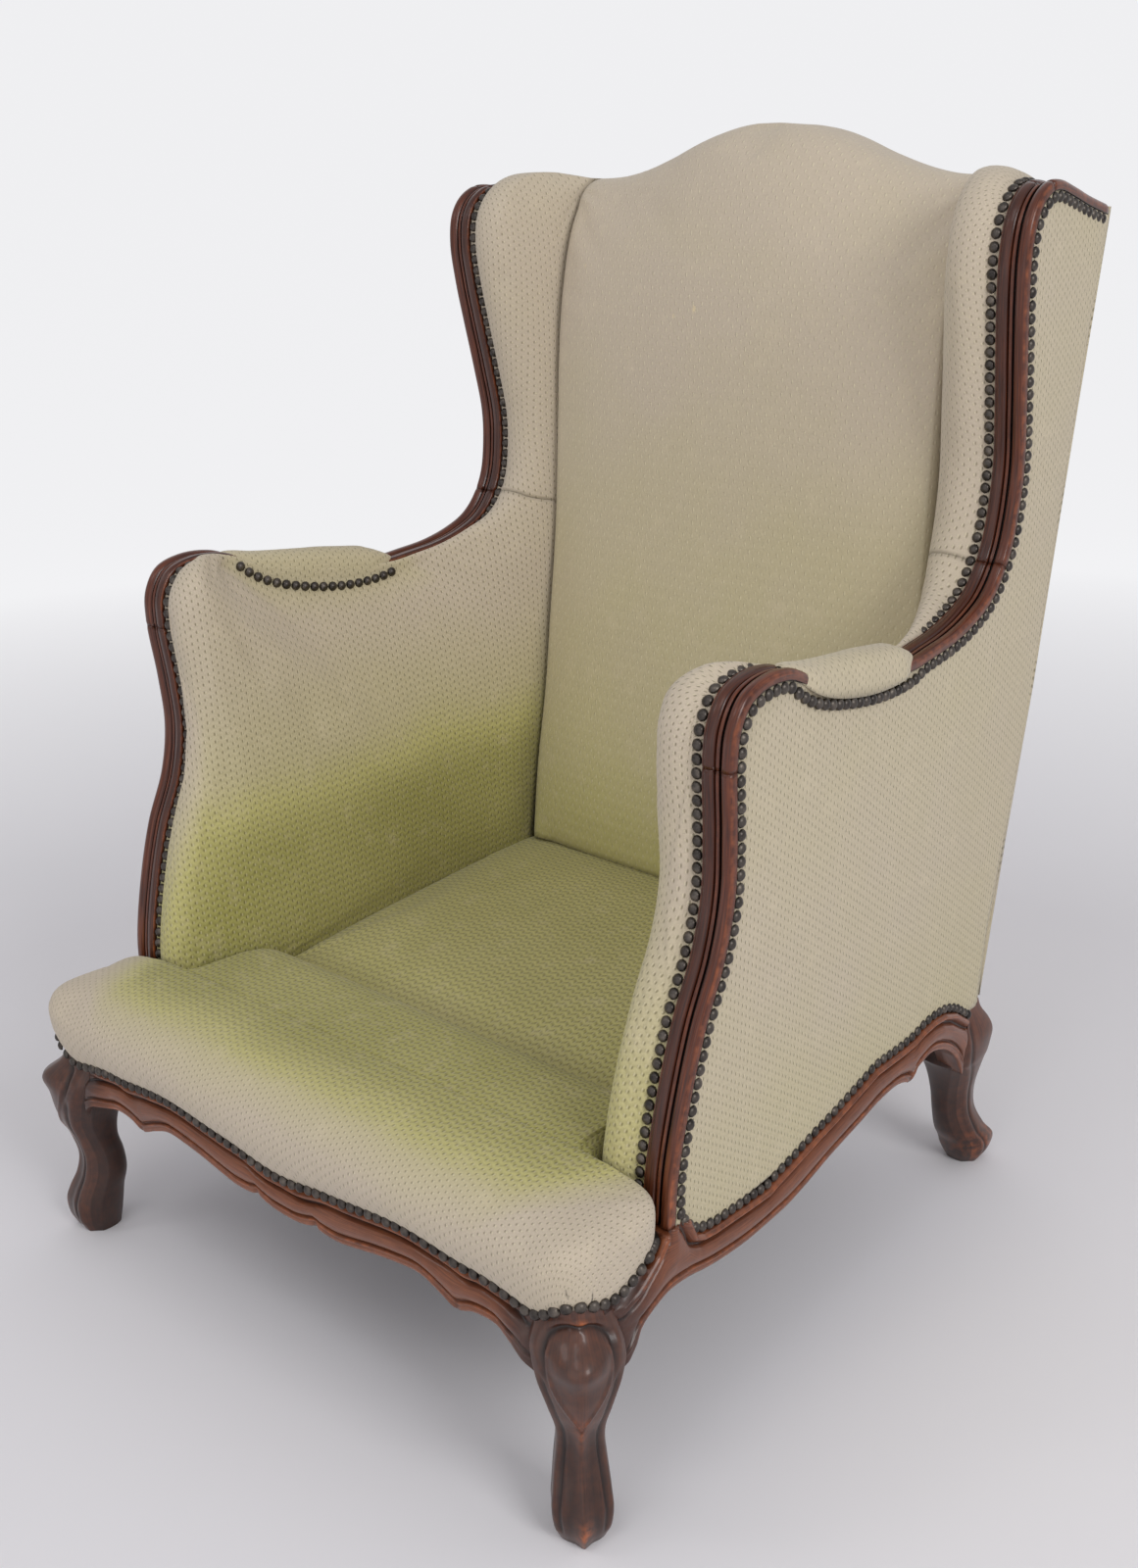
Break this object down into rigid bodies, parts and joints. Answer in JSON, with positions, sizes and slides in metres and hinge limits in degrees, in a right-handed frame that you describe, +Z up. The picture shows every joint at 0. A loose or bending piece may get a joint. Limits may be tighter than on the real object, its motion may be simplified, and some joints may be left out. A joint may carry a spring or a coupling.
{
  "type": "wing armchair",
  "caption": "Wing armchair with carved show-wood legs, rails and arms, scroll-shaped wings, camel back, close-nailed fabric and a bare sprung seat deck.",
  "frame": {"origin": "on the floor under the middle of the whole chair's box", "axes": "+Z up, the chair faces -Y, its right side seen from behind is +X"},
  "size_m": [0.7476, 0.7962, 1.08],
  "materials": {
    "show_wood": "stained and satin polished, darker in the grooves",
    "frame_wood": "bare sawn",
    "cover_fabric": "woven with short dashes, faded from olive to beige",
    "deck_fabric": "the same weave, unfaded olive",
    "nail_metal": "darkened bronze domes",
    "spring_steel": "plain wire",
    "jute": "coarse webbing and canvas",
    "black_cloth": "thin dust cloth"
  },
  "bodies": {
    "root": {"arm_post_right": "show_wood", "arm_post_left": "show_wood", "arm_rail_right": "show_wood", "arm_rail_left": "show_wood", "wing_stile_right": "show_wood", "wing_stile_left": "show_wood", "wing_top_rail_right": "show_wood", "wing_top_rail_left": "show_wood", "side_rail_right": "show_wood", "side_rail_left": "show_wood", "front_rail": "show_wood", "back_rail": "show_wood", "front_leg_right": "show_wood", "front_leg_left": "show_wood", "rear_post_right": "show_wood", "rear_post_left": "show_wood", "front_corner_block_right": "frame_wood", "front_corner_block_left": "frame_wood", "rear_corner_block_right": "frame_wood", "rear_corner_block_left": "frame_wood", "crest_rail": "frame_wood", "back_tack_rail": "frame_wood", "side_tack_rail_right": "frame_wood", "side_tack_rail_left": "frame_wood", "arm_tie_rail_right": "frame_wood", "arm_tie_rail_left": "frame_wood", "long_web_1": "jute", "long_web_2": "jute", "long_web_3": "jute", "cross_web_1": "jute", "cross_web_2": "jute", "cross_web_3": "jute", "spring_canvas": "jute", "coil_spring_1": "spring_steel", "coil_spring_2": "spring_steel", "coil_spring_3": "spring_steel", "coil_spring_4": "spring_steel", "coil_spring_5": "spring_steel", "coil_spring_6": "spring_steel", "dust_cover": "black_cloth", "seat_deck": "deck_fabric", "seat_lip": "cover_fabric", "inner_back_pad": "cover_fabric", "arm_top_pad_right": "cover_fabric", "arm_top_pad_left": "cover_fabric", "inner_arm_pad_right": "cover_fabric", "inner_arm_pad_left": "cover_fabric", "inner_wing_pad_right": "cover_fabric", "inner_wing_pad_left": "cover_fabric", "outer_side_cover_right": "cover_fabric", "outer_side_cover_left": "cover_fabric", "outer_back_cover": "cover_fabric", "nail_row_front": "nail_metal", "nail_row_outer_right": "nail_metal", "nail_row_outer_left": "nail_metal", "nail_row_post_inner_right": "nail_metal", "nail_row_post_inner_left": "nail_metal", "nail_row_wing_inner_right": "nail_metal", "nail_row_wing_inner_left": "nail_metal"}
  },
  "joints": []
}
